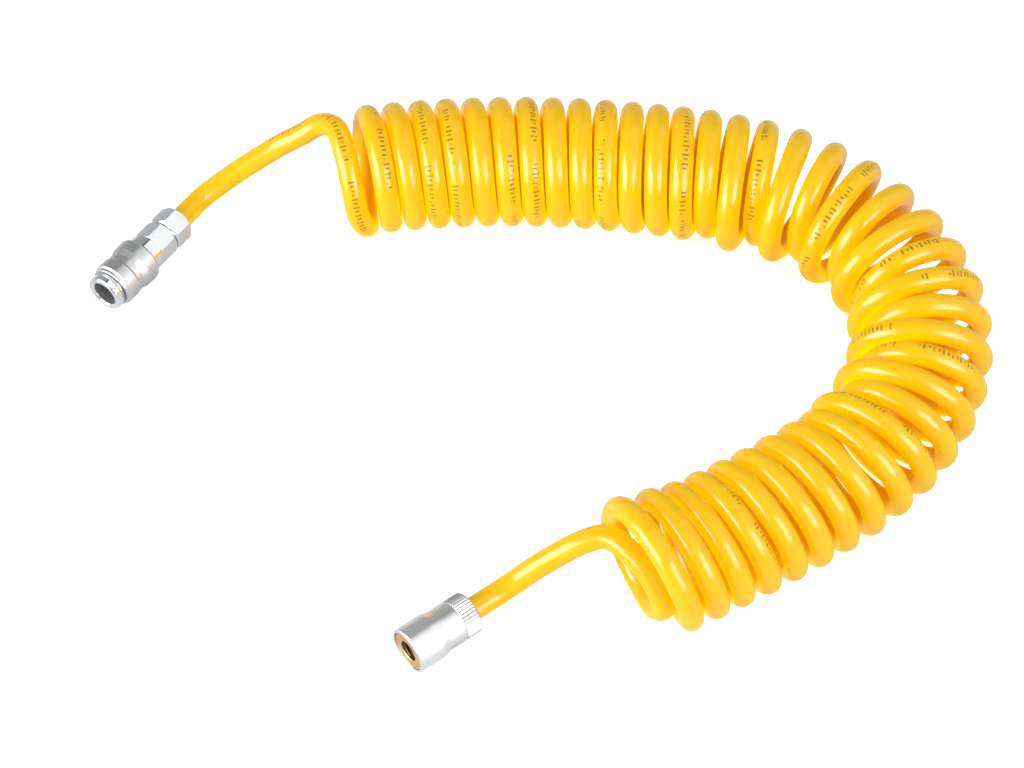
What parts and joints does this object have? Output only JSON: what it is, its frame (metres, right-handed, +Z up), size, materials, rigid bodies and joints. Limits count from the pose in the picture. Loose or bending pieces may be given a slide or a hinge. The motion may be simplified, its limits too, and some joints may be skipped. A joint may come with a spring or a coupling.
{
  "type": "coiled air hose",
  "caption": "Coiled air hose with a sleeve-locked quick coupler on one end and a knurled swivel connector with a threaded brass core on the other.",
  "frame": {"origin": "bottom centre of the box round the two end fittings, on the surface that the hose lies on", "axes": "+Z up; the coil starts along +X from the coupler's end and curls round to the connector's end at -Y"},
  "size_m": [0.311, 0.2263, 0.0489],
  "materials": {
    "hose": "glossy translucent golden-yellow polyurethane",
    "plated": "bright nickel plate on turned and hexagonal faces",
    "satin_plate": "satin nickel plate",
    "spring_steel": "bright spring steel",
    "aluminium": "satin aluminium, with a straight knurl at the rear",
    "brass": "turned brass",
    "rubber": "black nitrile rubber"
  },
  "bodies": {
    "hose": {"hose_coil": "hose", "hose_tail_coupler": "hose", "hose_tail_connector": "hose", "hose_end_coupler": "hose", "hose_end_connector": "hose", "socket_tube": "plated", "coupler_body": "plated", "hose_nut": "plated", "sleeve_spring": "spring_steel", "stop_ring": "spring_steel", "plug_seal": "rubber", "body_seal": "rubber", "valve_spring": "spring_steel", "spring_seat": "brass", "coupler_stem": "brass", "clamp_ring": "brass", "connector_stem": "brass", "swivel_seal": "rubber", "crimp_ferrule": "spring_steel"},
    "locking_sleeve": {"locking_sleeve": "satin_plate"},
    "valve": {"valve_poppet": "brass", "valve_seal": "rubber"},
    "connector": {"connector_sleeve": "aluminium", "connector_core": "brass", "thread_washer": "rubber"},
    "locking_ball_1": {"locking_ball_1": "spring_steel"},
    "locking_ball_2": {"locking_ball_2": "spring_steel"},
    "locking_ball_3": {"locking_ball_3": "spring_steel"},
    "locking_ball_4": {"locking_ball_4": "spring_steel"},
    "locking_ball_5": {"locking_ball_5": "spring_steel"},
    "locking_ball_6": {"locking_ball_6": "spring_steel"}
  },
  "joints": [
    {"name": "sleeve_slide", "type": "slide", "parent": "hose", "child": "locking_sleeve", "axis": [0.5736, 0.8192, 0], "range_m": [0, 0.0026], "stiffness_N_per_m": 600, "springref_m": -0.004, "deforming": ["sleeve_spring"]},
    {"name": "valve_slide", "type": "slide", "parent": "hose", "child": "valve", "axis": [0.5736, 0.8192, 0], "range_m": [0, 0.003], "stiffness_N_per_m": 300, "springref_m": -0.003, "deforming": ["valve_spring"]},
    {"name": "connector_swivel", "type": "hinge", "parent": "hose", "child": "connector", "pos_m": [0.05338, -0.08484, 0.008], "axis": [0.788, 0.6157, 0], "continuous": true},
    {"name": "ball_1_slide", "type": "slide", "parent": "hose", "child": "locking_ball_1", "axis": [-0.4096, 0.2868, -0.866], "range_m": [0, 0.0005]},
    {"name": "ball_2_slide", "type": "slide", "parent": "hose", "child": "locking_ball_2", "axis": [-0.8192, 0.5736, 0], "range_m": [0, 0.0005]},
    {"name": "ball_3_slide", "type": "slide", "parent": "hose", "child": "locking_ball_3", "axis": [-0.4096, 0.2868, 0.866], "range_m": [0, 0.0005]},
    {"name": "ball_4_slide", "type": "slide", "parent": "hose", "child": "locking_ball_4", "axis": [0.4096, -0.2868, 0.866], "range_m": [0, 0.0005]},
    {"name": "ball_5_slide", "type": "slide", "parent": "hose", "child": "locking_ball_5", "axis": [0.8192, -0.5736, 0], "range_m": [0, 0.0005]},
    {"name": "ball_6_slide", "type": "slide", "parent": "hose", "child": "locking_ball_6", "axis": [0.4096, -0.2868, -0.866], "range_m": [0, 0.0005]}
  ],
  "couplings": [
    {"joint": "ball_1_slide", "follows": "sleeve_slide", "ratio": 0.19},
    {"joint": "ball_2_slide", "follows": "sleeve_slide", "ratio": 0.19},
    {"joint": "ball_3_slide", "follows": "sleeve_slide", "ratio": 0.19},
    {"joint": "ball_4_slide", "follows": "sleeve_slide", "ratio": 0.19},
    {"joint": "ball_5_slide", "follows": "sleeve_slide", "ratio": 0.19},
    {"joint": "ball_6_slide", "follows": "sleeve_slide", "ratio": 0.19}
  ]
}
